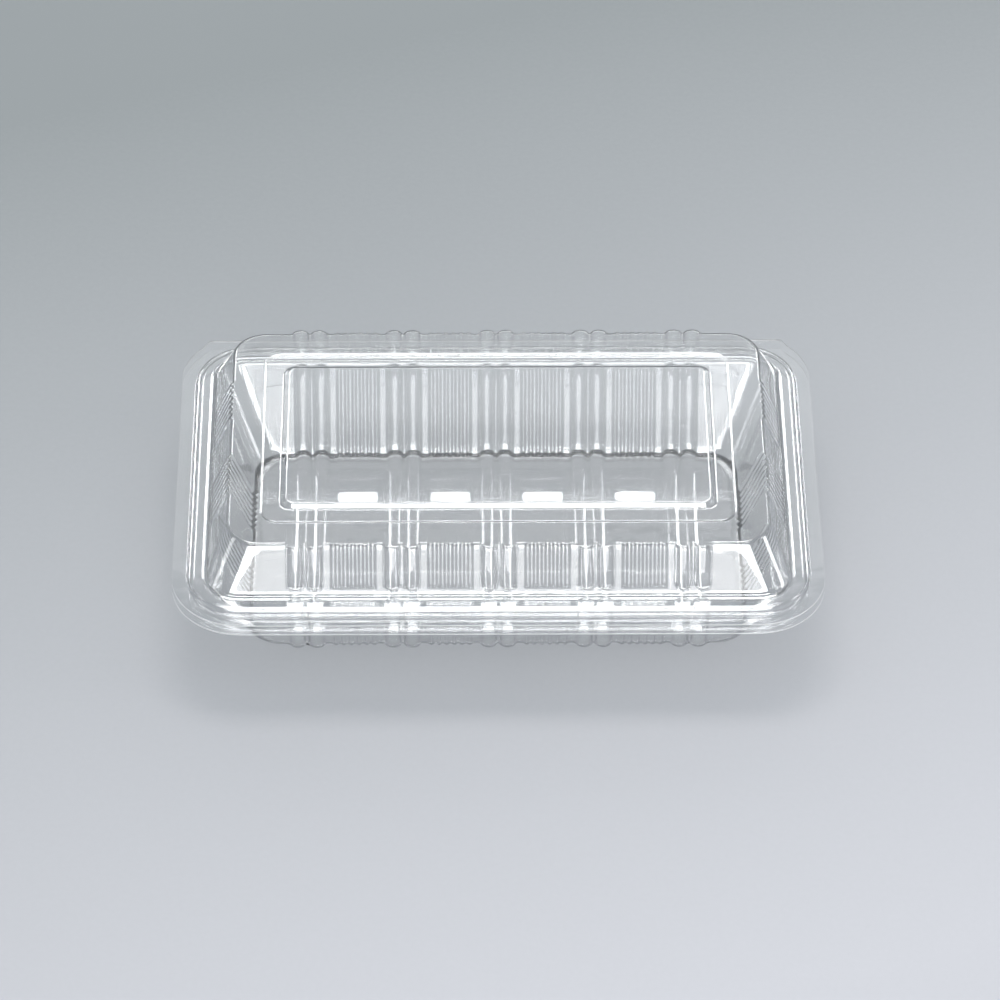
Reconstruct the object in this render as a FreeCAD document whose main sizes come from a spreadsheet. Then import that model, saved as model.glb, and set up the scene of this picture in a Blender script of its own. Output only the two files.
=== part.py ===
"""Clear hinged pack thermoformed from one thin sheet: a fluted tray and a fluted lid that folds over it.

Frame: X along the fold, Y from the front (-) to the fold (+), Z up, millimetres.
The origin is under the middle of the pack, on the surface that it stands on.
An inset is a distance inwards from the pack's outer edge, the same on all four sides.
A reach is a distance along Z from the closed end of a half: the tray's floor or the lid's top.
"""

import FreeCAD, Part
import math
import os
import Sketcher

# Each driving size: its name, its value in millimetres (or a count), and what it is.
SIZES = [
    ("pack_length", 185.0, "along the fold, over the lips"),
    ("pack_depth", 123.0, "front edge to fold"),
    ("gauge", 0.35, "thickness of the sheet"),
    ("lip_corner", 20.0, "radius of the lips' corners in plan"),
    ("fold_setback", 2.84, "how far the back corner arcs would reach behind the fold"),
    ("fold_inset", 6.5, "from the pack's side to the end of the fold"),
    ("lip_level", 24.0, "underside of the tray's lip above the table"),
    ("fold_height", 3.3, "from the tray's lip to the lid's lip"),
    ("fold_gap", 0.05, "between the fold strip and the lid's lip"),
    ("lip_width", 4.4, "flat lip outside the lid's bead"),
    ("lid_bead_rise", 1.8, "height of the lid's bead over its lip"),
    ("nesting_gap", 0.3, "clearance between the lid's bead and the tray's"),
    ("mouth_inset", 10.0, "inset of the tray's mouth and of the dome's foot"),
    ("floor_inset", 20.5, "inset of the foot of the tray's walls"),
    ("tray_corner", 9.0, "corner radius of the tray's walls"),
    ("floor_bevel", 0.9, "softened edge round the floor"),
    ("dome_rise", 14.6, "height of the lid's walls over its bead"),
    ("dome_lean", 5.5, "inward lean of the lid's walls"),
    ("lid_corner", 9.0, "corner radius of the lid's walls"),
    ("dome_bevel", 0.6, "softened edge round the top"),
    ("ring_width", 9.9, "flat ring round the lid's top"),
    ("ring_step", 0.3, "drop from the ring to the moat"),
    ("moat_corner", 4.5, "corner radius of the moat"),
    ("moat_width", 5.5, "from the ring's inner edge to the panel's foot"),
    ("panel_rise", 1.25, "height of the raised panel over the moat"),
    ("panel_lean", 1.1, "inward lean of the panel's edge"),
    ("panel_corner", 3.5, "corner radius of the panel's foot"),
    ("rib_pitch", 27.3, "spacing of the rib pairs, and of the flute groups between them"),
    ("pair_spacing", 5.46, "between the two wide ribs of a pair"),
    ("rib_radius", 2.3, "radius of a wide rib's section"),
    ("rib_stand", 1.8, "how far a wide rib stands out at its thick end"),
    ("rib_margin", 1.8, "from a wide rib's thin end to the end of its wall"),
    ("flute_pitch", 2.2, "spacing of the flutes on the long walls"),
    ("side_flute_pitch", 2.4, "spacing of the flutes on the short walls"),
    ("flute_crest", 0.8, "width of a flute's crest"),
    ("flute_stand", 0.8, "how far a flute stands out at its thick end"),
    ("flute_margin", 2.6, "from a flute's thin end to the end of its wall"),
    ("long_flutes", 6, "flutes in a group on a long wall"),
    ("side_flutes", 7, "flutes in a group on a short wall"),
    ("side_group_gap", 15.0, "plain wall between the two groups on a short wall"),
    ("pad_width", 11.4, "raised pad on the floor, along the pack"),
    ("pad_depth", 7.0, "raised pad on the floor, across the pack"),
    ("pad_rise", 0.6, "height of the pads over the floor"),
    ("pad_corner", 1.2, "cut off the corners of the pads"),
    ("pad_inset", 14.0, "from the foot of the wall to the pads"),
]

# Sizes worked out from the driving ones, as spreadsheet formulas.
PLACES = [
    ("half_length", "=sizes.pack_length / 2"),
    ("half_depth", "=sizes.pack_depth / 2"),
    ("fold_half", "=half_length - sizes.fold_inset"),
    ("lid_level", "=sizes.lip_level + sizes.fold_height"),
    ("lid_brow", "=lid_level + sizes.gauge + sizes.lid_bead_rise"),
    ("tray_brow", "=lid_brow - sizes.gauge - sizes.nesting_gap"),
    ("tray_bead_inset", "=sizes.lip_width + sizes.gauge + sizes.nesting_gap"),
    ("dome_top", "=lid_brow + sizes.dome_rise"),
    ("top_inset", "=sizes.mouth_inset + sizes.dome_lean"),
    ("moat_inset", "=top_inset + sizes.ring_width"),
    ("panel_inset", "=moat_inset + sizes.moat_width"),
    ("moat_level", "=dome_top - sizes.ring_step"),
    ("panel_level", "=moat_level + sizes.panel_rise"),
    ("panel_slope", "=sizes.panel_lean / sizes.panel_rise"),
    ("tray_slope", "=(sizes.floor_inset - sizes.mouth_inset) / tray_brow"),
    ("lid_slope", "=sizes.dome_lean / sizes.dome_rise"),
    ("flute_slope", "=(sizes.flute_pitch - sizes.flute_crest) / 2 / sizes.flute_stand"),
    ("straight_half", "=half_length - sizes.floor_inset - sizes.tray_corner"),
    ("pair_half", "=sizes.pair_spacing / 2 + sizes.rib_radius"),
    ("pair_count", "=2 * floor((straight_half - pair_half) / sizes.rib_pitch) + 1"),
    ("side_group", "=sizes.side_flutes * sizes.side_flute_pitch"),
    ("side_step", "=side_group + sizes.side_group_gap"),
    ("overshoot", "=4 * sizes.gauge"),
]

UP = FreeCAD.Vector(0, 0, 1)
ALONG = FreeCAD.Vector(1, 0, 0)
QUARTER_TURN, FULL_TURN = 90, 360
# A rib's round section is drawn with this many flats, which keeps its mesh light.
RIB_FACETS = 8
CLOSE = 1e-4
ORIGIN_POINT = (-1, 1)
START, END, CENTRE = 1, 2, 3

doc = FreeCAD.newDocument("clamshell_pack")
sizes = doc.addObject("Spreadsheet::Sheet", "sizes")
for row, (name, value, note) in enumerate(SIZES, start=1):
    sizes.set(f"A{row}", str(value))
    sizes.setAlias(f"A{row}", name)
    sizes.set(f"B{row}", note)
places = doc.addObject("Spreadsheet::Sheet", "places")
for row, (name, formula) in enumerate(PLACES, start=1):
    places.set(f"A{row}", formula)
    places.setAlias(f"A{row}", name)
doc.recompute()


def skin(slope):
    """Expression for the sheet's horizontal thickness in a wall that leans by slope."""
    return f"sizes.gauge * sqrt(1 + ({slope}) ^ 2)"


def origin_part(body, role):
    """One of a body's own origin planes or axes."""
    return next(part for part in body.Origin.OriginFeatures if part.Role == role)


def flat_sketch(body, name, level, turn=0.0):
    """A sketch on a body's horizontal plane, raised to a level and turned about Z by degrees."""
    sketch = body.newObject("Sketcher::SketchObject", name)
    sketch.AttachmentSupport = [(origin_part(body, "XY_Plane"), "")]
    sketch.MapMode = "FlatFace"
    sketch.AttachmentOffset = FreeCAD.Placement(FreeCAD.Vector(), FreeCAD.Rotation(UP, turn))
    sketch.setExpression("AttachmentOffset.Base.z", level)
    return sketch


def hold_point(sketch, shape, point, across, along):
    """Dimensions one point of a sketch from the sketch's origin, by two expressions."""
    for kind, expression in (("DistanceX", across), ("DistanceY", along)):
        distance = sketch.evalExpression(expression)
        number = sketch.addConstraint(Sketcher.Constraint(kind, *ORIGIN_POINT, shape, point, distance))
        sketch.setExpression(f"Constraints[{number}]", expression)


def hold_radius(sketch, shape, radius):
    """Dimensions the radius of an arc or circle by an expression."""
    number = sketch.addConstraint(Sketcher.Constraint("Radius", shape, sketch.evalExpression(radius)))
    sketch.setExpression(f"Constraints[{number}]", radius)


def spot(sketch, across, along):
    """The point that two expressions give now."""
    return FreeCAD.Vector(sketch.evalExpression(across), sketch.evalExpression(along), 0)


def round_rectangle(sketch, left, right, front, back, corner):
    """A closed rectangle with round corners; its four sides and its radius are expressions."""
    centres = [
        (f"({right}) - ({corner})", f"({back}) - ({corner})"),
        (f"({left}) + ({corner})", f"({back}) - ({corner})"),
        (f"({left}) + ({corner})", f"({front}) + ({corner})"),
        (f"({right}) - ({corner})", f"({front}) + ({corner})"),
    ]
    arcs = []
    for quarter, (across, along) in enumerate(centres):
        circle = Part.Circle(spot(sketch, across, along), UP, sketch.evalExpression(corner))
        sweep = (quarter * math.pi / 2, (quarter + 1) * math.pi / 2)
        arcs.append(sketch.addGeometry(Part.ArcOfCircle(circle, *sweep)))
    following = arcs[1:] + arcs[:1]
    for arc, next_arc in zip(arcs, following):
        side = Part.LineSegment(sketch.getPoint(arc, END), sketch.getPoint(next_arc, START))
        line = sketch.addGeometry(side)
        sketch.addConstraint(Sketcher.Constraint("Tangent", arc, END, line, START))
        sketch.addConstraint(Sketcher.Constraint("Tangent", line, END, next_arc, START))
    hold_radius(sketch, arcs[0], corner)
    for arc in arcs[1:]:
        sketch.addConstraint(Sketcher.Constraint("Equal", arcs[0], arc))
    for arc, (across, along) in zip(arcs, centres):
        hold_point(sketch, arc, CENTRE, across, along)


def named_edges(feature, wanted):
    """The names of a feature's edges whose lowest and highest points pass a test."""
    names = []
    for number, edge in enumerate(feature.Shape.Edges, start=1):
        heights = [vertex.Z for vertex in edge.Vertexes]
        if wanted(min(heights), max(heights)):
            names.append(f"Edge{number}")
    return names


def closed_outline(sketch, corners):
    """A closed outline of straight lines through corners, each given as two expressions."""
    points = [spot(sketch, across, along) for across, along in corners]
    following = points[1:] + points[:1]
    lines = [sketch.addGeometry(Part.LineSegment(a, b)) for a, b in zip(points, following)]
    for line, next_line in zip(lines, lines[1:] + lines[:1]):
        sketch.addConstraint(Sketcher.Constraint("Coincident", line, END, next_line, START))
    for line, (across, along) in zip(lines, corners):
        hold_point(sketch, line, START, across, along)


def loft(body, name, feature, rings):
    """A ruled loft through round rectangles, each given as (level, inset, corner) expressions."""
    sketches = []
    for number, (level, inset, corner) in enumerate(rings, start=1):
        sketch = flat_sketch(body, f"{name}_ring_{number}", level)
        x, y = (f"places.{half} - ({inset})" for half in ("half_length", "half_depth"))
        round_rectangle(sketch, f"-({x})", x, f"-({y})", y, corner)
        sketches.append(sketch)
    solid = body.newObject(f"PartDesign::{feature}", name)
    solid.Profile = sketches[0]
    solid.Sections = sketches[1:]
    solid.Ruled = True
    return solid


def rim_ring(body, name, level, top, outer_inset, inner_inset):
    """A flat ring between two insets, whose corners are concentric with the lips'."""
    sketch = flat_sketch(body, f"{name}_outline", level)
    for inset in (outer_inset, inner_inset):
        x, y = (f"places.{half} - ({inset})" for half in ("half_length", "half_depth"))
        round_rectangle(sketch, f"-({x})", x, f"-({y})", y, f"sizes.lip_corner - ({inset})")
    ring = body.newObject("PartDesign::Pad", name)
    ring.Profile = sketch
    ring.setExpression("Length", f"{top} - ({level})")


def block(body, name, feature, low, high):
    """A box between two corners, each given as three expressions."""
    box = body.newObject(f"PartDesign::{feature}", name)
    for axis, edge, near, far in zip("xyz", ("Length", "Width", "Height"), low, high):
        box.setExpression(edge, f"({far}) - ({near})")
        box.setExpression(f"Placement.Base.{axis}", near)
    return box


class Half:
    """What the two halves' walls share: each runs from a closed end to a mouth."""

    def __init__(self, name, end_level, way, height, root, inset, corner, bevel):
        self.name = name
        self.end_level = end_level
        self.way = way
        self.height = height
        self.root = root
        self.inset = inset
        self.corner = corner
        self.bevel = bevel
        self.slope = f"places.{name}_slope"

    def level(self, reach):
        """Height above the table at a reach from the closed end."""
        sign = "+" if self.way > 0 else "-"
        return f"{self.end_level} {sign} ({reach})"


TRAY = Half("tray", "0", 1, "places.tray_brow", "0", "sizes.floor_inset", "sizes.tray_corner",
            "sizes.floor_bevel")
LID = Half("lid", "places.dome_top", -1, "sizes.dome_rise", "sizes.gauge", "places.top_inset", "sizes.lid_corner",
           "sizes.dome_bevel")


def leaning_walls(body, half, inside):
    """Four leaning walls and the closed end as one block, with round corners and a softened end."""
    thickness = skin(half.slope) if inside else "0"
    near = "sizes.gauge" if inside else "0"
    far = f"{half.height} + places.overshoot" if inside else f"{half.height} + {half.root}"
    low, high = (near, far) if half.way > 0 else (far, near)
    wedge = body.newObject("PartDesign::AdditiveWedge", "walls")
    wedge.Placement = FreeCAD.Placement(FreeCAD.Vector(), FreeCAD.Rotation(ALONG, QUARTER_TURN))
    for tag, reach, edge in (("", low, "Ymin"), ("2", high, "Ymax")):
        wedge.setExpression(edge, half.level(reach))
        inset = f"{half.inset} - {half.slope} * ({reach}) + {thickness}"
        for axis, extent in (("X", "places.half_length"), ("Z", "places.half_depth")):
            wedge.setExpression(f"{axis}{tag}min", f"{inset} - {extent}")
            wedge.setExpression(f"{axis}{tag}max", f"{extent} - ({inset})")
    doc.recompute()
    round_corners = body.newObject("PartDesign::Fillet", "round_corners")
    round_corners.Base = (wedge, named_edges(wedge, lambda low_z, high_z: high_z - low_z > CLOSE))
    round_corners.setExpression("Radius", f"{half.corner} - {thickness}")
    doc.recompute()
    end_height = wedge.evalExpression(half.level(near))
    softened = body.newObject("PartDesign::Chamfer", "softened_end")
    softened.Base = (round_corners, named_edges(
        round_corners, lambda low_z, high_z: max(abs(low_z - end_height), abs(high_z - end_height)) < CLOSE))
    softened.setExpression("Size", f"{half.bevel} - sizes.gauge / 2" if inside else half.bevel)
    doc.recompute()


def flute_pad(body, name, half, inside, wall_half, turn, middle, pitch, count):
    """A group of flutes on one wall, which sink into the wall just short of the mouth."""
    thin_end = f"({half.height} - sizes.flute_margin)"
    lean = f"({half.slope} - sizes.flute_stand / {thin_end})"
    near = "sizes.gauge" if inside else "0"
    far = f"({thin_end} + sizes.flute_margin / 2)"
    first = near if half.way > 0 else far
    sketch = flat_sketch(body, f"{name}_sections", half.level(first), turn)
    crest = f"{wall_half} - {half.inset} + sizes.flute_stand + {lean} * ({first})"
    if inside:
        crest = f"{crest} - {skin(lean)}"
    flute_outline(sketch, crest, middle, pitch, count, inside)
    pad = body.newObject("PartDesign::Pad", name)
    pad.Profile = sketch
    pad.setExpression("Length", f"{far} - {near}")
    pad.UseCustomVector = True
    pad.AlongSketchNormal = True
    pad.Direction = UP
    outward = "Direction.x" if turn else "Direction.y"
    pad.setExpression(outward, lean if half.way > 0 else f"-{lean}")
    return pad


def repeat(body, name, feature, axis, count, length, mirror):
    """Copies a feature along an axis, and both to the opposite wall."""
    row_of_copies = body.newObject("PartDesign::LinearPattern", f"{name}_row")
    row_of_copies.Direction = (origin_part(body, axis), [""])
    row_of_copies.setExpression("Occurrences", count)
    row_of_copies.setExpression("Length", length)
    opposite = body.newObject("PartDesign::Mirrored", f"{name}_opposite")
    opposite.MirrorPlane = (origin_part(body, mirror), [""])
    pattern = body.newObject("PartDesign::MultiTransform", f"{name}_pattern")
    pattern.Originals = [feature]
    pattern.Transformations = [row_of_copies, opposite]
    body.Tip = pattern
    doc.recompute()


def wide_ribs(body, half, inside):
    """Pairs of nearly round ribs on the long walls, which sink into the wall just short of the mouth."""
    thin_end = f"({half.height} - sizes.rib_margin)"
    lean = f"({half.slope} - sizes.rib_stand / {thin_end})"
    stretch = f"sqrt(1 + {lean} ^ 2)"
    past_end = "-sizes.rib_radius"
    in_wall = f"({thin_end} + sizes.rib_margin / 2)"
    first = past_end if half.way > 0 else in_wall
    sketch = flat_sketch(body, "rib_sections", half.level(first))
    sketch.AttachmentOffset = FreeCAD.Placement(FreeCAD.Vector(), FreeCAD.Rotation(ALONG, 1))
    sketch.setExpression("AttachmentOffset.Rotation.Angle", f"{-half.way} * atan({lean})")
    sketch.setExpression("AttachmentOffset.Base.y", f"places.half_depth - {half.inset} + sizes.rib_stand"
                         f" - sizes.rib_radius * {stretch} + {lean} * ({first})")
    step = FULL_TURN / RIB_FACETS
    radius = f"(sizes.rib_radius - sizes.gauge / cos({step / 2}))" if inside else "sizes.rib_radius"
    for side in ("-", "+"):
        across = f"-(places.pair_count - 1) / 2 * sizes.rib_pitch {side} sizes.pair_spacing / 2"
        closed_outline(sketch, [
            (f"{across} + {radius} * sin({number * step})", f"{radius} * cos({number * step})")
            for number in range(RIB_FACETS)
        ])
    pair = body.newObject("PartDesign::Pad", "rib_pair")
    pair.Profile = sketch
    pair.setExpression("Length", f"({in_wall} + sizes.rib_radius) * {stretch}")
    repeat(body, "rib_pairs", pair, "X_Axis", "places.pair_count",
           "(places.pair_count - 1) * sizes.rib_pitch", "XZ_Plane")
    near = "sizes.gauge" if inside else "0"
    beyond = "-2 * sizes.rib_radius"
    low, high = (beyond, near) if half.way > 0 else (near, beyond)
    block(body, "trimmed_end", "SubtractiveBox",
          ("-places.half_length", "-places.half_depth", half.level(low)),
          ("places.half_length", "places.half_depth", half.level(high)))


def flute_outline(sketch, crest, middle, pitch, count, inside):
    """One outline round a group of flutes that stand side by side: flat crests, sharp valleys."""
    slope = "places.flute_slope"
    half_crest = "sizes.flute_crest / 2"
    if inside:
        half_crest = f"({half_crest} - {skin(slope)} + {slope} * sizes.gauge)"
    valley = f"{crest} - ({pitch} / 2 - {half_crest}) / {slope}"
    root = f"{valley} - places.overshoot"
    left = f"{middle} - {count} / 2 * {pitch}"
    right = f"{middle} + {count} / 2 * {pitch}"
    corners = [(left, root), (left, valley)]
    for number in range(count):
        centre = f"{middle} + ({number} - ({count} - 1) / 2) * {pitch}"
        corners.append((f"{centre} - {half_crest}", crest))
        corners.append((f"{centre} + {half_crest}", crest))
        corners.append((f"{centre} + {pitch} / 2", valley))
    corners.append((right, root))
    closed_outline(sketch, corners)


def flutes(body, half, inside):
    """Groups of fine flutes: midway between the rib pairs on the long walls, and two on each short wall."""
    first_group = "-(places.pair_count - 2) / 2 * sizes.rib_pitch"
    group = flute_pad(body, "flute_group", half, inside, "places.half_depth", 0, first_group,
                      "sizes.flute_pitch", int(sizes.long_flutes))
    repeat(body, "flute_groups", group, "X_Axis", "places.pair_count - 1",
           "(places.pair_count - 2) * sizes.rib_pitch", "XZ_Plane")
    group = flute_pad(body, "side_group", half, inside, "places.half_length", -QUARTER_TURN,
                      "places.side_step / 2", "sizes.side_flute_pitch", int(sizes.side_flutes))
    repeat(body, "side_groups", group, "Y_Axis", "2", "places.side_step", "YZ_Plane")


def floor_pads(body, inside):
    """Low pads with cut corners, pressed up in the floor in line with the flute groups."""
    grow = "sizes.gauge" if inside else "0"
    middle = "-(places.pair_count - 2) / 2 * sizes.rib_pitch"
    left = f"{middle} - sizes.pad_width / 2 - {grow}"
    right = f"{middle} + sizes.pad_width / 2 + {grow}"
    back = f"places.half_depth - sizes.floor_inset - sizes.pad_inset + {grow}"
    front = f"{back} - sizes.pad_depth - 2 * {grow}"
    cut = f"(sizes.pad_corner + {grow} * (2 - sqrt(2)))"
    sketch = flat_sketch(body, "floor_pad_outline", f"{grow} + sizes.pad_rise")
    closed_outline(sketch, [
        (f"{left} + {cut}", front), (f"{right} - {cut}", front),
        (right, f"{front} + {cut}"), (right, f"{back} - {cut}"),
        (f"{right} - {cut}", back), (f"{left} + {cut}", back),
        (left, f"{back} - {cut}"), (left, f"{front} + {cut}"),
    ])
    pad = body.newObject("PartDesign::Pocket", "floor_pad")
    pad.Profile = sketch
    pad.setExpression("Length", "sizes.pad_rise")
    repeat(body, "floor_pads", pad, "X_Axis", "places.pair_count - 1",
           "(places.pair_count - 2) * sizes.rib_pitch", "XZ_Plane")


def top_panel(body, inside):
    """The moat round the lid's top, and the raised panel inside it."""
    drop = "sizes.gauge" if inside else "0"
    moat = flat_sketch(body, "moat_outline", f"places.dome_top - {drop}")
    x, y = (f"places.{half} - places.moat_inset + {drop}" for half in ("half_length", "half_depth"))
    round_rectangle(moat, f"-({x})", x, f"-({y})", y, f"sizes.moat_corner + {drop}")
    step = body.newObject("PartDesign::Pocket", "moat")
    step.Profile = moat
    step.setExpression("Length", "sizes.ring_step")
    shrink = f"({skin('places.panel_slope')} - places.panel_slope * sizes.gauge)" if inside else "0"
    foot = (f"places.moat_level - {drop}", f"places.panel_inset + {shrink}",
            f"sizes.panel_corner - {shrink}")
    head = (f"places.panel_level - {drop}", f"places.panel_inset + sizes.panel_lean + {shrink}",
            f"sizes.panel_corner - sizes.panel_lean - {shrink}")
    loft(body, "panel", "AdditiveLoft", [foot, head])


def rim(body, lip, brow, bead_inset):
    """The lip, cut straight along the fold, and the hollow bead round the mouth."""
    lip_top = f"{lip} + sizes.gauge"
    outline = flat_sketch(body, "lip_outline", lip)
    round_rectangle(outline, "-places.half_length", "places.half_length", "-places.half_depth",
                    "places.half_depth + sizes.fold_setback", "sizes.lip_corner")
    bead_wall = f"{bead_inset} + sizes.gauge"
    x, y = (f"places.{half} - ({bead_wall})" for half in ("half_length", "half_depth"))
    round_rectangle(outline, f"-({x})", x, f"-({y})", y, f"sizes.lip_corner - ({bead_wall})")
    plate = body.newObject("PartDesign::Pad", "lip")
    plate.Profile = outline
    plate.setExpression("Length", "sizes.gauge")
    block(body, "behind_fold", "SubtractiveBox",
          ("-places.half_length", "places.half_depth", lip),
          ("places.half_length", "places.half_depth + 2 * sizes.fold_setback", lip_top))
    block(body, "fold_ears", "AdditiveBox",
          ("-places.fold_half", f"places.half_depth - ({bead_inset})", lip),
          ("places.fold_half", "places.half_depth", lip_top))
    rim_ring(body, "bead_wall", lip, brow, bead_inset, bead_wall)
    rim_ring(body, "bead_top", f"{brow} - sizes.gauge", brow, bead_inset,
             "sizes.mouth_inset + 2 * sizes.gauge")


def tray_surface(inside):
    """The tray: everything inside its outer surface, or the space inside its inner one."""
    body = doc.addObject("PartDesign::Body", "tray_inside" if inside else "tray_outside")
    leaning_walls(body, TRAY, inside)
    if not inside:
        rim(body, "sizes.lip_level", "places.tray_brow", "places.tray_bead_inset")
        block(body, "fold_strip", "AdditiveBox",
              ("-places.fold_half", "places.half_depth - sizes.gauge", "sizes.lip_level"),
              ("places.fold_half", "places.half_depth", "places.lid_level - sizes.fold_gap"))
    wide_ribs(body, TRAY, inside)
    flutes(body, TRAY, inside)
    floor_pads(body, inside)
    return body


def lid_surface(inside):
    """The lid: everything inside its outer surface, or the space inside its inner one."""
    body = doc.addObject("PartDesign::Body", "lid_inside" if inside else "lid_outside")
    leaning_walls(body, LID, inside)
    if not inside:
        rim(body, "places.lid_level", "places.lid_brow", "sizes.lip_width")
    wide_ribs(body, LID, inside)
    flutes(body, LID, inside)
    top_panel(body, inside)
    return body


def formed_half(label, surface):
    """One half of the pack, hollowed to the sheet's thickness."""
    outside = surface(False)
    inside = surface(True)
    sheet = doc.addObject("Part::Cut", label)
    sheet.Base = outside
    sheet.Tool = inside
    sheet.Label = label
    return sheet


nodes = [formed_half("base_tray", tray_surface), formed_half("lid", lid_surface)]
doc.recompute()

failed = [item.Name for item in doc.Objects if {"Invalid", "Error"} & set(item.State)]
if failed:
    raise RuntimeError("not built: " + ", ".join(failed))
for node in nodes:
    shape = node.Shape
    if shape.isNull() or not shape.isValid() or len(shape.Solids) != 1:
        raise RuntimeError(f"{node.Label} is not one sound solid")

os.makedirs("parts", exist_ok=True)
for node in nodes:
    node.Shape.exportStep(f"parts/{node.Label}.step")
    box = node.Shape.BoundBox
    print(f"{node.Label}: {box.XLength:.2f} x {box.YLength:.2f} x {box.ZLength:.2f} mm,"
          f" {node.Shape.Volume:.0f} cubic mm, {len(node.Shape.Faces)} faces")
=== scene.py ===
# %% [markdown]
# A clear hinged food pack.
# The real object is one thin sheet of clear polystyrene. Heat and vacuum draw it into a tray and a lid,
# and the sheet folds along the back. Nearly all that an eye sees of it is reflections: long lamps drawn
# along ribs, rims and corners. So this lesson is about true shapes first, then about a clean glass-like
# finish and good lamps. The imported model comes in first, as the frame that every piece has to fit.

# %% Load the frame
import math

import bmesh
import bpy
from mathutils import Matrix, Vector


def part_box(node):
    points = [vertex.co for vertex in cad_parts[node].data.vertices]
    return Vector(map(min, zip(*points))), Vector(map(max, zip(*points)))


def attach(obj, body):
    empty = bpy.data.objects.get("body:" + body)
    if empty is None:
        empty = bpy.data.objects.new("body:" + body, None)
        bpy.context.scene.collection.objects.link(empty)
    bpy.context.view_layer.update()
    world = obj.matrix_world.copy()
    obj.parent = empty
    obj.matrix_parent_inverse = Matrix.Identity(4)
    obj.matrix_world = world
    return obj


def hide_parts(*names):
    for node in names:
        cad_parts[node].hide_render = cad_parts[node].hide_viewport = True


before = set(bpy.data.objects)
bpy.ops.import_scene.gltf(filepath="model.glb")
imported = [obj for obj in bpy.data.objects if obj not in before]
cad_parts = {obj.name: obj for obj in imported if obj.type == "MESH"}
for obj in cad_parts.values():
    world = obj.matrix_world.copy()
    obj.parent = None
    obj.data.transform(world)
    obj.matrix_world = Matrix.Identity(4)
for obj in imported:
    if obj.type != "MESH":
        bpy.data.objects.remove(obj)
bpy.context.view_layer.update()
MM = 0.001
lid_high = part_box("lid")[1]
HALF_LENGTH, HALF_DEPTH = lid_high[0] / MM, lid_high[1] / MM

# %% [markdown]
# The camera.
# The photograph looks down on the pack from the front with a long lens, which keeps the far edge nearly as
# long as the near one. The camera is built from a target, a turn, a height angle, a small tilt and a
# distance, because those are what one can read off a photograph; the matrices below do the walking round.

# %% Camera
VIEW_TARGET = Vector((0.66, -10.3, 28.6)) * MM
VIEW_TURN, VIEW_HEIGHT, VIEW_TILT = (math.radians(angle) for angle in (-0.71, 42.18, 0.32))
VIEW_DISTANCE = 1.542
LENS = 193.2

camera = bpy.data.objects.new("camera", bpy.data.cameras.new("camera"))
camera.data.lens = LENS
camera.data.clip_end = 20
camera.matrix_world = (
    Matrix.Translation(VIEW_TARGET)
    @ Matrix.Rotation(VIEW_TURN, 4, "Z")
    @ Matrix.Rotation(math.pi / 2 - VIEW_HEIGHT, 4, "X")
    @ Matrix.Rotation(VIEW_TILT, 4, "Z")
    @ Matrix.Translation((0, 0, VIEW_DISTANCE))
)
bpy.context.collection.objects.link(camera)
bpy.context.scene.camera = camera
print("camera at", [round(value, 3) for value in camera.matrix_world.translation])

# %% [markdown]
# How the sheet is drawn.
# A thermoformed half is a stack of rings: each trip round the pack is a rectangle with round corners, a
# little further in and a little higher or lower than the last. A ring is therefore three numbers: its
# inset from the pack's edge, its level above the table, and its corner radius, all in millimetres until
# the end. A fourth number says how dark a line of painted shade the clear finish later paints along the
# ring, standing in for the dark line that a real bend shows. A profile names only its bends, called knots
# here, and a bend with a softness becomes a small curve of several rings.

# %% Profiles
SHEET = 0.3
SOFT_STEPS = 4


def knot(inset, level, corner, soft=0.0, bend=0.0):
    """One bend of a profile, how far from it its rounding starts, and how dark a painted-shade line it gets.
    """
    return Vector((inset, level, corner, bend)), soft


def towards(start, goal, distance):
    """The plain point of a profile that lies a distance from start on the way to goal."""
    run = math.hypot(goal[0] - start[0], goal[1] - start[1])
    point = start.lerp(goal, min(distance / run, 0.5))
    point[3] = 0
    return point


def softened(knots):
    """A profile's rings, with every soft bend turned into a small curve."""
    rings = [knots[0][0]]
    for (before, _), (bend, soft), (after, _) in zip(knots, knots[1:], knots[2:]):
        if not soft:
            rings.append(bend)
            continue
        start, end = towards(bend, before, soft), towards(bend, after, soft)
        for step in range(SOFT_STEPS + 1):
            share = step / SOFT_STEPS
            rings.append(start.lerp(bend, share).lerp(bend.lerp(end, share), share))
    return rings + [knots[-1][0]]


print("a soft bend becomes", SOFT_STEPS + 1, "rings of a sheet", SHEET, "mm thick")

# %% [markdown]
# The tray's and the lid's profiles.
# Both start at the lip, climb over the hollow bead that snaps the halves together, and run down the
# leaning wall to the closed end. The tray is drawn by its outer face and the lid by its top face, and the
# sheet's thickness grows inwards from there, so that the two beads nest with a hair of air between them.
# The foot of the tray's wall leans more, like a heel, because a wall's lean decides which lamp it mirrors.
# Each line below is one bend: inset, level, corner radius, how softly it turns, how dark a line of painted
# shade it gets.

# %% Knots of the two profiles
LIP_CORNER = 20.0
WALL_CORNER = 9.0
MOUTH_INSET = 9.8
TRAY_LIP, TRAY_BROW, TRAY_BEAD = 24.0, 28.45, 5.4
LID_LIP, LID_BROW, LID_BEAD = 27.65, 29.45, 4.4
LID_TOP, MOAT, PANEL = 44.05, 43.75, 45.0
HEEL_LEVEL, HEEL_INSET, FLOOR_INSET, TOP_INSET = 2.6, 19.9, 21.3, 16.0
RIB_FADE = 2.6

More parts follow.
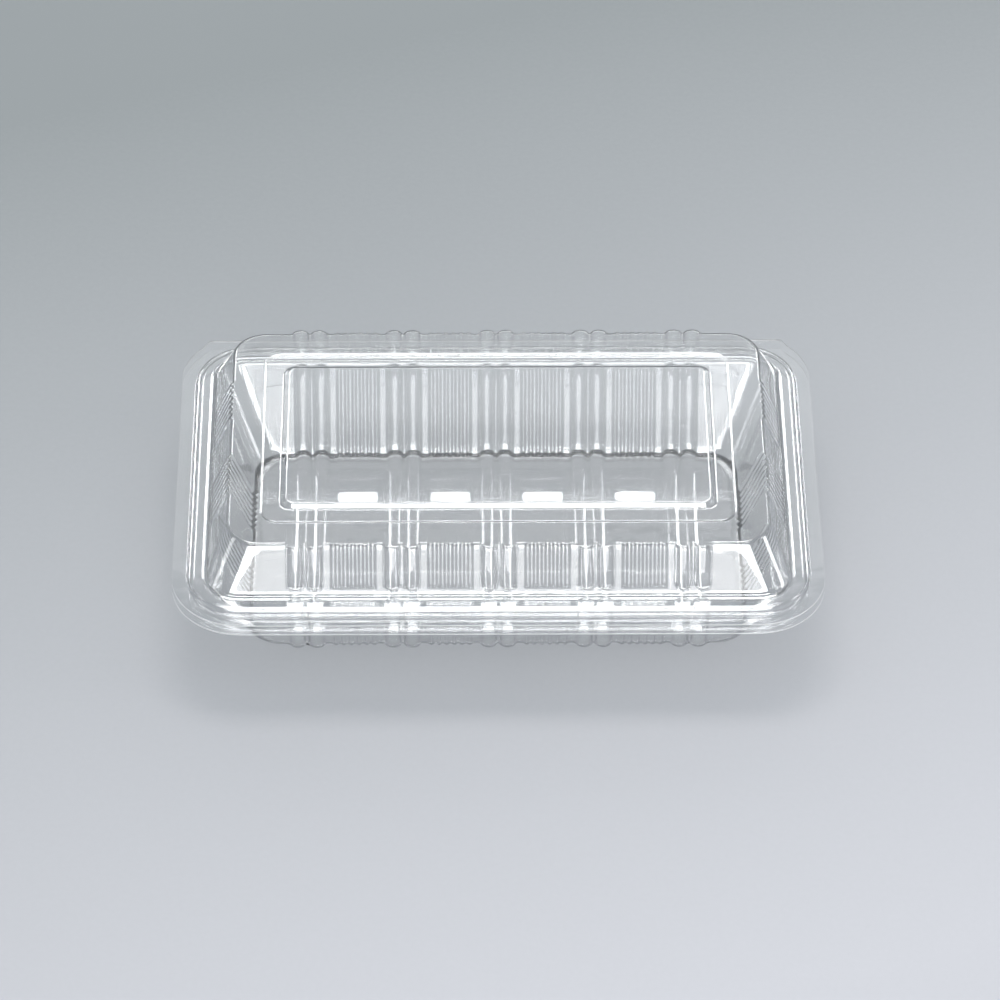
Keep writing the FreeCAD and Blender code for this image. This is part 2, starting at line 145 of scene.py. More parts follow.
tray_knots = [
    knot(0, TRAY_LIP, LIP_CORNER),
    knot(TRAY_BEAD, TRAY_LIP, LIP_CORNER - TRAY_BEAD, 0.7, 0.5),
    knot(TRAY_BEAD, TRAY_BROW, LIP_CORNER - TRAY_BEAD, 1.1, 0.3),
    knot(MOUTH_INSET, TRAY_BROW, WALL_CORNER, 1.3, 0.3),
    knot(HEEL_INSET, HEEL_LEVEL, WALL_CORNER, 0.7),
    knot(FLOOR_INSET, 0, WALL_CORNER, 1.3, 2.4),
    knot(FLOOR_INSET + 2.2, 0, WALL_CORNER - 1, 0, 0.15),
    knot(FLOOR_INSET + 2.9, 0, WALL_CORNER - 1),
    knot(FLOOR_INSET + 2.9 + RIB_FADE, 0, WALL_CORNER - 2),
]
lid_knots = [
    knot(0, LID_LIP, LIP_CORNER),
    knot(LID_BEAD, LID_LIP, LIP_CORNER - LID_BEAD, 0.5, 0.5),
    knot(LID_BEAD, LID_BROW, LIP_CORNER - LID_BEAD, 0.8, 0.3),
    knot(MOUTH_INSET, LID_BROW, WALL_CORNER, 1.3, 0.3),
    knot(TOP_INSET, LID_TOP, WALL_CORNER, 1.0, 0.7),
    knot(TOP_INSET + 1.2, LID_TOP, WALL_CORNER - 0.7),
    knot(TOP_INSET + 1.2 + RIB_FADE, LID_TOP, WALL_CORNER - 2.2),
    knot(25.2, LID_TOP, 4.7, 0.3),
    knot(25.6, MOAT, 4.3, 0.3, 0.5),
    knot(30.7, MOAT, 3.5, 0.4, 0.8),
    knot(32.2, PANEL, 2.2, 0.4),
    knot(33.4, PANEL, 1.8),
]
print("knots", len(tray_knots), "in the tray,", len(lid_knots), "in the lid")

# %% [markdown]
# More rings on the walls.
# Ribs end in round tips, and a tip needs rings close together, so the walls get extra rings at chosen
# distances from the closed end. They crowd near the mouth, where the tips are.

# %% Ring tables
TRAY_REACHES = (6, 14, 21, 24.4, 25.1, 25.6, 26.0, 26.4, 26.8)
LID_REACHES = (10.4, 11.2, 11.8, 12.3, 12.7)
SLACK = 0.1


def filled(rings, reaches, end_level):
    """A profile with more rings on its wall, at the given distances from the closed end."""
    full = list(rings)
    for reach in reaches:
        level = abs(end_level - reach)
        for place, (above, below) in enumerate(zip(full, full[1:])):
            low, high = sorted((above[1], below[1]))
            steep = abs(below[1] - above[1]) > abs(below[0] - above[0])
            if steep and low < level < high and above[0] >= MOUTH_INSET - SLACK:
                share = (level - above[1]) / (below[1] - above[1])
                full.insert(place + 1, above.lerp(below, share))
                break
    return full


tray_rings = filled(softened(tray_knots), TRAY_REACHES, 0)
lid_rings = filled(softened(lid_knots), LID_REACHES, LID_TOP)
print("rings", len(tray_rings), "in the tray,", len(lid_rings), "in the lid")

# %% [markdown]
# Ribs and flutes.
# They stiffen the thin walls. Pairs of wide round ribs alternate with groups of fine flutes on the long
# walls, and the short walls carry two groups of flutes each. Every one stands out most at the closed end,
# grows a little shallower towards the mouth, and ends there in a round tip. They are not separate pieces:
# the wall itself swells, so one function says how far the wall stands out at a place, and the rings ask
# it.

# %% Wide ribs
RIB_PITCH, PAIR_SPACING, RIB_HALF, RIB_STAND, RIB_MARGIN = 27.3, 5.46, 2.45, 1.75, 1.8
PAIRS = 2
TAPER = 0.12
ROUND_RIB = 0.62


def nearest_offset(place, pitch, first, last):
    """Distance of a place from the nearest of the equally spaced centres first..last."""
    number = min(max(round(place / pitch - first), 0), last - first) + first
    return place - number * pitch


def end_share(reach, thin_end, half):
    """How far a place has gone into the rounded thin end: 0 on the straight part, 1 at the tip."""
    return max(0.0, (reach - (thin_end - half)) / half)


def rib_swell(place, reach, height):
    """How far a pair of wide ribs stands out of a long wall."""
    offset = abs(nearest_offset(place, RIB_PITCH, -PAIRS, PAIRS)) - PAIR_SPACING / 2
    thin_end = height - RIB_MARGIN
    radial = math.hypot(offset / RIB_HALF, end_share(reach, thin_end, RIB_HALF))
    if radial >= 1:
        return 0.0
    return RIB_STAND * (1 - TAPER * min(reach / thin_end, 1)) * (1 - radial * radial) ** ROUND_RIB


print("a wide rib stands out", round(rib_swell(PAIR_SPACING / 2, 0, TRAY_BROW), 2), "mm at the floor")

# %% Fine flutes
FLUTE_PITCH, SIDE_PITCH, FLUTE_STAND, FLUTE_MARGIN = 2.2, 2.4, 0.75, 2.4
LONG_FLUTES, SIDE_FLUTES, SIDE_STEP = 6, 7, 31.8
ROUND_FLUTE = 0.8


def flute_swell(offset, pitch, count, reach, height):
    """How far a group of fine flutes stands out of a wall, offset from the group's middle."""
    thin_end = height - FLUTE_MARGIN
    tip = end_share(reach, thin_end, pitch / 2)
    if abs(offset) >= count * pitch / 2 or tip >= 1:
        return 0.0
    wave = 0.5 + 0.5 * math.cos(2 * math.pi * (offset / pitch - (0 if count % 2 else 0.5)))
    return FLUTE_STAND * (1 - TAPER * reach / thin_end) * wave ** ROUND_FLUTE * math.sqrt(1 - tip * tip)


def long_wall_swell(place, reach, height):
    """Relief of a long wall: rib pairs, and flute groups midway between them."""
    offset = nearest_offset(place - RIB_PITCH / 2, RIB_PITCH, -PAIRS, PAIRS - 1)
    return rib_swell(place, reach, height) + flute_swell(offset, FLUTE_PITCH, LONG_FLUTES, reach, height)


def short_wall_swell(place, reach, height):
    """Relief of a short wall: two flute groups."""
    offset = abs(place) - SIDE_STEP / 2
    return flute_swell(offset, SIDE_PITCH, SIDE_FLUTES, reach, height)


print("a flute of a short wall stands out", round(short_wall_swell(SIDE_STEP / 2, 0, TRAY_BROW), 2), "mm")

# %% [markdown]
# What a half knows about itself.
# The relief belongs to the wall alone. It must not reach the rim, which has to stay inside the pack's
# size, and on the closed end it fades out within a few millimetres of the wall's foot.

# %% The two halves
RIM_CLEARANCE = 0.5
FOOT_REACH = 1.0


class Half:
    """What the rings of one half need to know: its closed end, its wall and where its relief fades."""

    def __init__(self, end_level, height, foot_inset):
        self.end_level = end_level
        self.height = height
        self.foot_inset = foot_inset

    def relief(self, inset):
        """1 on the wall and round its foot, 0 on the rim and well inside the closed end."""
        last = self.foot_inset + FOOT_REACH + RIB_FADE
        return 1.0 if MOUTH_INSET - RIM_CLEARANCE < inset < last else 0.0


TRAY_WALL, LID_WALL = 28.8, 14.6
TRAY = Half(0, TRAY_WALL, FLOOR_INSET)
LID = Half(LID_TOP, LID_WALL, TOP_INSET)
print("wall heights", TRAY.height, "and", LID.height, "mm")

# %% [markdown]
# Placing a ring.
# The plan outline is made once: a rectangle, its corners bevelled round, its sides cut into short edges.
# Every point keeps its place on that plan in a data layer, which extrusion copies, so each new ring can be
# laid out from the plan. Points on the ribbed stretch keep the same place along the wall on every ring:
# columns of points then run straight up the ribs, which keeps the highlights on them clean.

# %% Ring layout
LONG_STEPS, SHORT_STEPS, CORNER_STEPS = 344, 134, 12
FLUTE_STEPS, SIDE_FLUTE_STEPS = 12, 10
PLAN_X, PLAN_Y = LONG_STEPS * FLUTE_PITCH / FLUTE_STEPS, SHORT_STEPS * SIDE_PITCH / SIDE_FLUTE_STEPS
PLAN_RADIUS = 9.0
STEADY_X, STEADY_Y, LEAST_STRETCH = 62.0, 31.0, 0.5
TINY = 1e-4


def spread(value, steady, plan_end, end):
    """Moves a point of the plan along its side: steady in the middle, stretched towards the corner."""
    if end < steady + LEAST_STRETCH:
        return value * end / plan_end
    if abs(value) <= steady:
        return value
    stretched = steady + (abs(value) - steady) * (end - steady) / (plan_end - steady)
    return math.copysign(stretched, value)


def laid_out(plan, ring, half):
    """Where a point of the plan lies on a ring of one half of the pack."""
    inset, level, corner, _ = ring
    reach = abs(half.end_level - level)
    relief = half.relief(inset)
    centre_x, centre_y = HALF_LENGTH - inset - corner, HALF_DEPTH - inset - corner
    on_long_wall, on_short_wall = abs(plan.x) <= PLAN_X + TINY, abs(plan.y) <= PLAN_Y + TINY
    if on_long_wall and not on_short_wall:
        x = spread(plan.x, STEADY_X, PLAN_X, centre_x)
        y = HALF_DEPTH - inset + relief * long_wall_swell(x, reach, half.height)
        return Vector((x, math.copysign(y, plan.y), level))
    if on_short_wall and not on_long_wall:
        y = spread(plan.y, STEADY_Y, PLAN_Y, centre_y)
        x = HALF_LENGTH - inset + relief * short_wall_swell(y, reach, half.height)
        return Vector((math.copysign(x, plan.x), y, level))
    turn = Vector((abs(plan.x) - PLAN_X, abs(plan.y) - PLAN_Y)).normalized() * corner
    x, y = centre_x + turn.x, centre_y + turn.y
    return Vector((math.copysign(x, plan.x), math.copysign(y, plan.y), level))


print("a floor corner is rounded about", laid_out(Vector((PLAN_X, PLAN_Y, 0)), tray_rings[-1], TRAY))

# %% [markdown]
# The plan outline.
# A grid of one face gives the rectangle, and a bevel of its corner points rounds it. Its sides are cut
# into even steps, and a whole number of steps makes a flute, so that the flutes of a group all come out
# alike. The lip's outermost ring is also cut straight along the fold.

# %% Plan outline and fold line
FOLD_HALF, FOLD_SETBACK, FOLD_SNAP = 86.0, 2.84, 0.6


def plan_outline(bm, plan_layer):
    """The rounded rectangle that every ring is laid out from."""
    bmesh.ops.create_grid(bm, x_segments=1, y_segments=1, size=1)
    bmesh.ops.scale(bm, vec=(PLAN_X + PLAN_RADIUS, PLAN_Y + PLAN_RADIUS, 1), verts=bm.verts)
    bmesh.ops.bevel(bm, geom=bm.verts[:], offset=PLAN_RADIUS, offset_type="OFFSET", segments=CORNER_STEPS,
                    profile=0.5, affect="VERTICES", material=-1)
    bmesh.ops.delete(bm, geom=bm.faces[:], context="FACES_ONLY")
    for axis, steps in ((0, LONG_STEPS), (1, SHORT_STEPS)):
        sides = [e for e in bm.edges if abs(e.verts[0].co[axis] - e.verts[1].co[axis]) > PLAN_Y]
        bmesh.ops.subdivide_edges(bm, edges=sides, cuts=steps - 1)
    for vert in bm.verts:
        vert[plan_layer] = vert.co
    return bm.edges[:]


def cut_at_fold(point):
    """Brings a point of the lip's edge onto the straight fold line at the back."""
    arc_y = point.y
    if point.y > 0:
        arc_y = point.y + FOLD_SETBACK * min(point.y / (HALF_DEPTH - LIP_CORNER), 1)
    if arc_y > HALF_DEPTH or (abs(point.x) < FOLD_HALF + FOLD_SNAP and point.y > HALF_DEPTH / 2):
        x = max(-FOLD_HALF, min(FOLD_HALF, point.x))
        return Vector((x, HALF_DEPTH, point.z))
    return Vector((point.x, arc_y, point.z))


print("the middle of the lip's back edge goes to", cut_at_fold(Vector((0, HALF_DEPTH, TRAY_LIP))))

# %% [markdown]
# Drawing the sheet.
# The outline is extruded ring by ring, as the tool draws the real sheet deeper and deeper, and the last
# ring is closed with one flat face. Each point also stores how dark a line of painted shade its bend
# gets. That painted shade is less towards the front: the near foot is seen from outside through one
# sheet, and the far foot through both.

# %% Draw a half
NEAR_PAINTED_SHADE = 0.25


def drawn_half(half, rings):
    """A bmesh of one half, drawn from its lip to its closed end, in millimetres."""
    bm = bmesh.new()
    plan_layer = bm.verts.layers.float_vector.new("plan")
    # the bend layer holds how dark a line of painted shade each point gets
    painted_shade_layer = bm.verts.layers.float.new("bend")
    ring_edges = plan_outline(bm, plan_layer)
    for vert in bm.verts:
        vert.co = cut_at_fold(laid_out(vert[plan_layer], rings[0], half))
    for ring in rings[1:]:
        grown = bmesh.ops.extrude_edge_only(bm, edges=ring_edges)["geom"]
        for vert in (part for part in grown if isinstance(part, bmesh.types.BMVert)):
            vert.co = laid_out(vert[plan_layer], ring, half)
            # painted shade: the dark line is painted weaker towards the front of the pack
            backness = 0.5 + 0.5 * vert[plan_layer].y / (PLAN_Y + PLAN_RADIUS)
            vert[painted_shade_layer] = ring[3] * (NEAR_PAINTED_SHADE + (1 - NEAR_PAINTED_SHADE) * backness)
        ring_edges = [part for part in grown if isinstance(part, bmesh.types.BMEdge)]
    closing = bmesh.ops.edgeloop_fill(bm, edges=ring_edges)["faces"]
    return bm, closing[0]


tray_bm, tray_floor = drawn_half(TRAY, tray_rings)
lid_bm, lid_top = drawn_half(LID, lid_rings)
print("faces", len(tray_bm.faces), "in the tray,", len(lid_bm.faces), "in the lid")

# %% [markdown]
# From drawing to piece.
# The drawn face has to look out of the pack before it gets a thickness, because the thickness grows
# against it. Flat faces stay flat shaded, so that they mirror like a true flat, and leaning ones are
# smooth.

# %% Finish a sheet
FLAT = 0.9999


def facing(bm, closing, way):
    """Turns the whole sheet so that its drawn face looks out of the pack."""
    bmesh.ops.recalc_face_normals(bm, faces=bm.faces)
    bm.normal_update()
    if closing.normal.z * way < 0:
        bmesh.ops.reverse_faces(bm, faces=bm.faces)


def finished_sheet(name, bm):
    """Makes a piece of a drawn half: metres, smooth, with the sheet's thickness grown inwards."""
    bm.normal_update()
    for edge in bm.edges:
        edge.smooth = not edge.is_boundary
    for face in bm.faces:
        face.smooth = len(face.verts) == 4 and abs(face.normal.z) < FLAT
    bmesh.ops.scale(bm, vec=(MM, MM, MM), verts=bm.verts)
    mesh = bpy.data.meshes.new(name)
    bm.to_mesh(mesh)
    bm.free()
    piece = bpy.data.objects.new(name, mesh)
    bpy.context.collection.objects.link(piece)
    wall = piece.modifiers.new("sheet", "SOLIDIFY")
    wall.thickness = SHEET * MM
    wall.offset = -1
    print(name, len(mesh.vertices), "points on the drawn face")
    return piece


# %% [markdown]
# The fold.
# The real fold is a line pressed thin across the one sheet, and the closed pack stands it on edge. Here it is
# an upright strip at the back, between the tray's lip and the lid's: one more extrusion of the lip's edge.

# %% Fold strip
STRIP_TOP = 27.25


def raise_strip(bm):
    """Extrudes the tray's lip upwards along the fold."""
    fold = [e for e in bm.edges if e.is_boundary and all(abs(v.co.y - HALF_DEPTH) < TINY for v in e.verts)]
    grown = bmesh.ops.extrude_edge_only(bm, edges=fold)["geom"]
    for vert in (part for part in grown if isinstance(part, bmesh.types.BMVert)):
        vert.co.z = STRIP_TOP


raise_strip(tray_bm)
facing(tray_bm, tray_floor, -1)
print("the strip rises", round(STRIP_TOP - TRAY_LIP, 2), "mm from the tray's lip")

# %% [markdown]
# The floor of the tray.
# Its flat face is cut with upright planes into a grid. Lines of the grid in line with the wide ribs are
# lifted to faint ridges, and eight cells are lifted to low pads, whose corners a bevel rounds. The pads
# slope towards the front, which is why a lamp high at the back shows in them as a white bar.

# %% Cut the floor
PAD_X, PAD_Y = (13.65, 40.95), (20.0, 23.9)
PAD_HALF, PAD_BACK, PAD_FRONT, PAD_CORNER, PAD_STEPS = 5.8, 0.5, 0.12, 1.4, 5
RIDGE_ENDS, RIDGE_HALF, RIDGE_RISE = (32.0, 34.5), 1.6, 0.4
RIB_LINES = [pair * RIB_PITCH + side * PAIR_SPACING / 2
             for pair in range(-PAIRS, PAIRS + 1) for side in (-1, 1)]


def cut_floor(bm, region, axis, places):
    """Cuts flat faces with upright planes across one axis, and gives all the faces that result."""
    for place in places:
        point = Vector((0, 0, 0))
        point[axis] = place
        normal = Vector((axis == 0, axis == 1, 0))
        parts = set(region)
        for face in region:
            parts.update(face.edges, face.verts)
        cut = bmesh.ops.bisect_plane(bm, geom=list(parts), plane_co=point, plane_no=normal, dist=TINY)["geom"]
        region = [part for part in cut if isinstance(part, bmesh.types.BMFace)]
    return region


across = [rib + edge for rib in RIB_LINES for edge in (-RIDGE_HALF, 0, RIDGE_HALF)]
across += [side * (middle + edge) for side in (-1, 1) for middle in PAD_X for edge in (-PAD_HALF, PAD_HALF)]
along = [side * edge for side in (-1, 1) for edge in PAD_Y + RIDGE_ENDS]
floor_cells = cut_floor(tray_bm, cut_floor(tray_bm, [tray_floor], 0, across), 1, along)
print(len(floor_cells), "cells in the floor")

# %% Ridges and pads
NEAR, COLUMN_REACH = 1e-3, 1.0


def raise_ridges(cells):
    """Lifts the points of the cells that lie on a rib's line."""
    for vert in {vert for face in cells for vert in face.verts}:
        on_rib = min(abs(vert.co.x - rib) for rib in RIB_LINES) < NEAR
        if on_rib and abs(vert.co.y) < RIDGE_ENDS[0] + NEAR:
            vert.co.z += RIDGE_RISE


def is_pad(face):
    """Whether a cell of the floor is one of the pads."""
    middle = face.calc_center_median()
    in_column = any(abs(abs(middle.x) - at) < COLUMN_REACH for at in PAD_X)
    return in_column and PAD_Y[0] < abs(middle.y) < PAD_Y[1]


def raise_pad(bm, cell):
    """Extrudes one cell to a wedge and rounds its upright corners."""
    top = bmesh.ops.extrude_discrete_faces(bm, faces=[cell])["faces"][0]
    for vert in top.verts:
        vert.co.z += PAD_BACK if abs(vert.co.y) > sum(PAD_Y) / 2 else PAD_FRONT
    upright = [edge for edge in {edge for vert in top.verts for edge in vert.link_edges}
               if abs(edge.verts[0].co.z - edge.verts[1].co.z) > PAD_FRONT / 2
               and abs(edge.verts[0].co.y - edge.verts[1].co.y) < NEAR]
    bmesh.ops.bevel(bm, geom=upright, offset=PAD_CORNER, offset_type="OFFSET", segments=PAD_STEPS,
                    profile=0.5, affect="EDGES", material=-1)


raise_ridges(floor_cells)
pads = [cell for cell in floor_cells if is_pad(cell)]
for pad in pads:
    raise_pad(tray_bm, pad)
print(len(pads), "pads and", len(RIB_LINES), "ridges in the floor")

# %% Tray piece
tray = finished_sheet("tray_sheet", tray_bm)
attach(tray, "base_tray")
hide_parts("base_tray")
print("the tray's size in mm", [round(side / MM, 1) for side in tray.dimensions])

# %% [markdown]
# The lid.
# Its closed end is the top: a flat ring, a shallow moat that catches the foot of a pack stacked on it, and
# a raised panel in the middle. They are simply more rings of its profile, so only finishing is left.

# %% Lid piece
facing(lid_bm, lid_top, 1)
lid = finished_sheet("lid_sheet", lid_bm)
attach(lid, "lid")
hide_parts("lid")
print("the lid's size in mm", [round(side / MM, 1) for side in lid.dimensions])

# %% [markdown]
# Finishes as small recipes.
# A node material is a formula. Flow wraps a socket so that the formula can be written as one, and Finish
# holds the material and makes every other node through a single method.

# %% Recipe classes
class Flow:
    """A number on its way through a material: arithmetic on it adds Math nodes."""

    def __init__(self, finish, socket):
        self.finish = finish
        self.socket = socket

    def math(self, operation, first, second):
        """Adds a Math node for one operation on two values."""
        return self.finish.node("ShaderNodeMath", {"operation": operation}, {0: first, 1: second})

    def __add__(self, other):
        return self.math("ADD", self, other)

    def __sub__(self, other):
        return self.math("SUBTRACT", self, other)

    def __mul__(self, other):
        return self.math("MULTIPLY", self, other)

    def __rsub__(self, other):
        return self.math("SUBTRACT", other, self)

    __radd__ = __add__
    __rmul__ = __mul__


class Finish:
    """The node tree of a material, or of the world, under construction."""

    def __init__(self, owner):
        self.owner = owner
        owner.use_nodes = True
        self.tree = owner.node_tree
        self.tree.nodes.clear()

    def node(self, kind, settings=None, sockets=None, output=0):
        """Adds a node: its settings first, then its sockets; gives one of its outputs."""
        node = self.tree.nodes.new(kind)
        for key, value in (settings or {}).items():
            if key == "stops":
                self.set_stops(node.color_ramp, value)
            else:
                setattr(node, key, value)
        for key, value in (sockets or {}).items():
            if isinstance(value, Flow):
                self.tree.links.new(value.socket, node.inputs[key])
            else:
                node.inputs[key].default_value = value
        return Flow(self, node.outputs[output]) if len(node.outputs) else None

    def set_stops(self, ramp, stops):
        """Gives a colour ramp its stops, each a position and a colour."""
        ramp.elements[0].position, ramp.elements[0].color = stops[0]
        ramp.elements[-1].position, ramp.elements[-1].color = stops[-1]
        for position, colour in stops[1:-1]:
            ramp.elements.new(position).color = colour


print("recipe classes ready:", Flow.__name__, "and", Finish.__name__)

# %% [markdown]
# Clear polystyrene.
# It bends light more than window glass does, so its index is 1.59, and its rims gleam. The drawn sheet is
# never perfect: its thickness ripples softly where it was stretched, and handling leaves a few dull
# specks. Both are faint, but without them the reflections look like computer glass.

# %% Ripple and scuffs
INDEX = 1.59
clear = Finish(bpy.data.materials.new("clear_polystyrene"))
place = clear.node("ShaderNodeTexCoord", output="Object")
ripple = clear.node("ShaderNodeTexNoise", {"noise_dimensions": "3D"},
                    {"Vector": place, "Scale": 95.0, "Detail": 2.0, "Roughness": 0.45}, "Fac")
grain = clear.node("ShaderNodeTexNoise", {"noise_dimensions": "3D"},
                   {"Vector": place, "Scale": 900.0, "Detail": 3.0, "Roughness": 0.6}, "Fac")
scuff = clear.node("ShaderNodeValToRGB", {"stops": [(0.60, (0, 0, 0, 1)), (0.78, (1, 1, 1, 1))]},
                   {"Fac": grain})
surface = clear.node("ShaderNodeBump", {}, {"Strength": 0.08, "Distance": 0.0006, "Height": ripple}, "Normal")
tint = clear.node("ShaderNodeMix", {"data_type": "RGBA"},
                  {"Factor": ripple, "A": (0.985, 0.992, 0.996, 1), "B": (1, 1, 1, 1)}, 2)
print("recipe nodes so far", len(clear.tree.nodes))

# %% [markdown]
# Lines of painted shade, and shadows.
# A tight bend acts as a tiny lens and shows as a dark line. Here that line is painted shade: the bends
# stored in the rings darken the colour towards near black, and so do places seen edge on. A clear sheet
# throws a light shadow, since most light goes through: shadow rays meet a plain see-through surface, and
# all other rays meet the real one.

# %% Clear sheet finish
side_on = clear.node("ShaderNodeLayerWeight", {}, {"Blend": 0.5}, "Facing")
bend = clear.node("ShaderNodeAttribute", {"attribute_name": "bend"}, {}, "Fac")
# painted shade: bends and places seen edge on mix the colour towards near black
painted_shade = side_on * side_on * side_on * 0.8 + bend * 1.5
painted_line_colour = clear.node("ShaderNodeMix", {"data_type": "RGBA", "clamp_factor": True},
                   {"Factor": painted_shade, "A": tint, "B": (0.06, 0.07, 0.08, 1)}, 2)
sheet_shader = clear.node("ShaderNodeBsdfPrincipled", {}, {
    "Base Color": painted_line_colour, "Roughness": 0.025 + scuff * 0.05, "IOR": INDEX, "Transmission Weight": 1.0,
    "Normal": surface,
})
in_shadow = clear.node("ShaderNodeLightPath", output="Is Shadow Ray")
passed_light = clear.node("ShaderNodeBsdfTransparent", {}, {"Color": (0.94, 0.945, 0.948, 1)})
whole = clear.node("ShaderNodeMixShader", {}, {0: in_shadow, 1: sheet_shader, 2: passed_light})
clear.node("ShaderNodeOutputMaterial", {}, {"Surface": whole})
for piece in (tray, lid):
    piece.data.materials.append(clear.owner)
print("the whole recipe has", len(clear.tree.nodes), "nodes")

# %% [markdown]
# Cut edges.
# A die trims the lips, and the cut leaves the sheet's narrow edge frosty. It shows as a fine pale line
# round the whole pack. The thickness modifier gives the rim faces the next material, so the edge needs no
# piece of its own.

# %% Cut edge finish
frosty = Finish(bpy.data.materials.new("cut_edge"))
chatter = frosty.node("ShaderNodeTexNoise", {"noise_dimensions": "3D"}, {
    "Vector": frosty.node("ShaderNodeTexCoord", output="Object"), "Scale": 1500.0, "Detail": 2.0}, "Fac")
cut_marks = frosty.node("ShaderNodeBump", {}, {
    "Strength": 0.3, "Distance": 0.0001, "Height": chatter}, "Normal")
edge_shader = frosty.node("ShaderNodeBsdfPrincipled", {}, {
    "Base Color": (0.97, 0.98, 0.99, 1), "Roughness": 0.25 + chatter * 0.3, "IOR": INDEX,
    "Transmission Weight": 0.1, "Normal": cut_marks,
})
frosty.node("ShaderNodeOutputMaterial", {}, {"Surface": edge_shader})
for piece in (tray, lid):
    piece.data.materials.append(frosty.owner)
    piece.modifiers["sheet"].material_offset_rim = 1
print("finishes on each piece", [material.name for material in lid.data.materials])

# %% [markdown]
# The table.
# The photograph was taken on a seamless pale blue-grey sweep. The way its light falls off is painted into
# its colour: darker towards the back, and a little lighter to the right.

# %% Floor
FLOOR_HALF, FLOOR_DROP = 3.0, 0.0002
floor_bm = bmesh.new()
bmesh.ops.create_grid(floor_bm, x_segments=1, y_segments=1, size=FLOOR_HALF)
bmesh.ops.translate(floor_bm, vec=(0, 0, -FLOOR_DROP), verts=floor_bm.verts)
floor_mesh = bpy.data.meshes.new("floor")
floor_bm.to_mesh(floor_mesh)
floor_bm.free()
floor = bpy.data.objects.new("floor", floor_mesh)
bpy.context.collection.objects.link(floor)

sweep = Finish(bpy.data.materials.new("sweep"))
spot = sweep.node("ShaderNodeTexCoord", output="Object")
speck = sweep.node("ShaderNodeTexNoise", {"noise_dimensions": "3D"},
                   {"Vector": spot, "Scale": 600.0, "Detail": 2.0}, "Fac")
back = sweep.node("ShaderNodeSeparateXYZ", {}, {0: spot}, "Y")
right = sweep.node("ShaderNodeSeparateXYZ", {}, {0: spot}, "X")
# painted light: the sweep's colour runs light at the front and right, and dark towards the back
painted_light_falloff = sweep.node("ShaderNodeMapRange", {}, {
    "Value": back - right * 0.35, "From Min": -0.20, "From Max": 0.27, "To Min": 0.0, "To Max": 1.0})
painted_light_falloff = painted_light_falloff + speck * 0.06
sweep_colour = sweep.node("ShaderNodeMix", {"data_type": "RGBA"},
                          {"Factor": painted_light_falloff, "A": (0.585, 0.595, 0.635, 1), "B": (0.255, 0.28, 0.29, 1)}, 2)
sweep_shader = sweep.node("ShaderNodeBsdfPrincipled", {}, {"Base Color": sweep_colour, "Roughness": 0.8})
sweep.node("ShaderNodeOutputMaterial", {}, {"Surface": sweep_shader})
floor_mesh.materials.append(sweep.owner)
print("the table is", 2 * FLOOR_HALF, "m wide")

# %% [markdown]
# Lamps.
# A clear pack shows its lamps as white bars, so their size and place matter more than their strength. A
# mirror on the table would show a lamp as high behind the pack as the camera is high in front of it.
# Steeper faces show what is in front: the walls show a lamp near the table, and the heel and the panel's
# edge show higher ones. Five lamps light everything. The others are gleams: they show in the plastic but
# light no matt thing. Each line of the list is a lamp: its name, its place, the point that it faces, its
# width and height, its watts, and whether it is only a gleam.

# %% Lamps
def soft_lamp(name, place, aim, width, height, watts, gleam_only):
    """A rectangular soft lamp at a place, turned to face a point."""
    light = bpy.data.lights.new(name, "AREA")
    light.shape = "RECTANGLE"
    light.size, light.size_y = width, height
    light.energy = watts
    lamp = bpy.data.objects.new(name, light)
    direction = Vector(aim) - Vector(place)
    lamp.matrix_world = Matrix.Translation(place) @ direction.to_track_quat("-Z", "Y").to_matrix().to_4x4()
    lamp.visible_camera = False
    lamp.visible_diffuse = not gleam_only
    bpy.context.collection.objects.link(lamp)


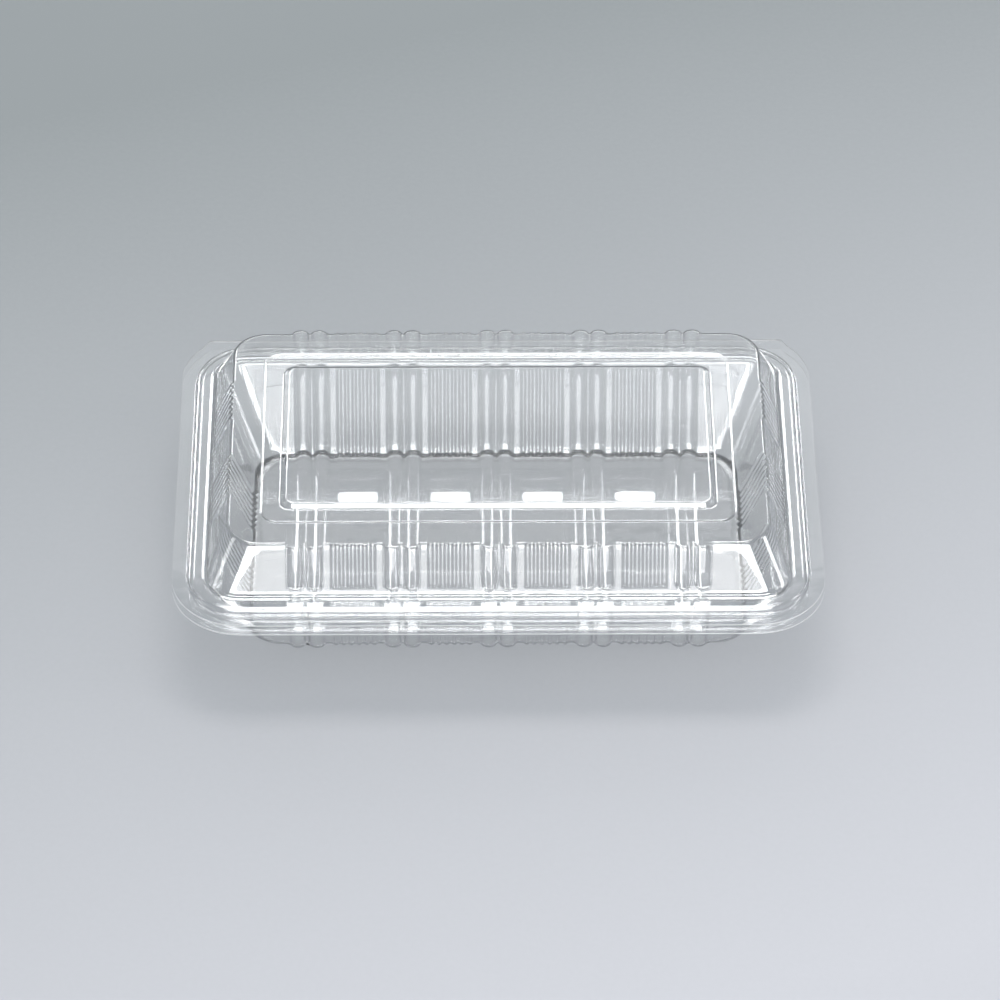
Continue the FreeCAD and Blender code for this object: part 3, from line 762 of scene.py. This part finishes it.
LAMPS = [
    ("top", (0, 0.45, 1.55), (0, 0, 0), 0.9, 0.5, 19.0, False),
    ("front_wall", (0, -1.2, 0.26), (0, 0, 0.26), 1.3, 0.52, 8.0, False),
    ("back_wall", (0, 2.4, 1.5), (0, 0, 0), 3.2, 1.2, 5.0, False),
    ("left_bank", (-1.3, -0.1, 0.45), (0, 0, 0.45), 0.25, 0.9, 2.0, False),
    ("right_bank", (1.3, -0.1, 0.45), (0, 0, 0.45), 0.25, 0.9, 4.5, False),
    ("pad_gleam", (0, 1.05, 1.35), (0, 0, 0), 1.0, 0.24, 8.0, True),
    ("heel_gleam", (0, -1.19, 0.38), (0, 0, 0.38), 1.6, 0.38, 18.0, True),
    ("step_gleam", (0, -0.84, 1.345), (0, 0, 0), 1.6, 0.36, 22.0, True),
    ("left_kicker", (-0.62, 1.38, 1.08), (0, 0, 0), 0.34, 0.34, 4.2, True),
    ("right_kicker", (0.62, 1.38, 1.08), (0, 0, 0), 0.34, 0.34, 4.2, True),
]
for lamp in LAMPS:
    soft_lamp(*lamp)
print(len(LAMPS), "lamps,", sum(lamp[-1] for lamp in LAMPS), "of them gleams")

# %% [markdown]
# The room.
# The plastic also mirrors the room round it. What the camera, a reflection or a refraction sees is the
# colour of the sweep far behind, and the light that falls on matt things comes from a slightly dimmer one.

# %% World and view
sky = Finish(bpy.data.worlds.new("studio"))
seen = (sky.node("ShaderNodeLightPath", output="Is Camera Ray")
        + sky.node("ShaderNodeLightPath", output="Is Glossy Ray")
        + sky.node("ShaderNodeLightPath", output="Is Transmission Ray"))
room = sky.node("ShaderNodeBackground", {}, {"Color": (0.62, 0.66, 0.70, 1), "Strength": 0.42})
behind = sky.node("ShaderNodeBackground", {}, {"Color": (0.385, 0.41, 0.425, 1), "Strength": 1.0})
chosen = sky.node("ShaderNodeMixShader", {}, {0: seen, 1: room, 2: behind})
sky.node("ShaderNodeOutputWorld", {}, {"Surface": chosen})
bpy.context.scene.world = sky.owner
bpy.context.scene.view_settings.view_transform = "Standard"
light_paths = bpy.context.scene.cycles
light_paths.max_bounces = light_paths.transmission_bounces = light_paths.transparent_max_bounces = 20
light_paths.glossy_bounces = 6
light_paths.caustics_reflective = light_paths.caustics_refractive = False
print("light may pass", light_paths.max_bounces, "faces")
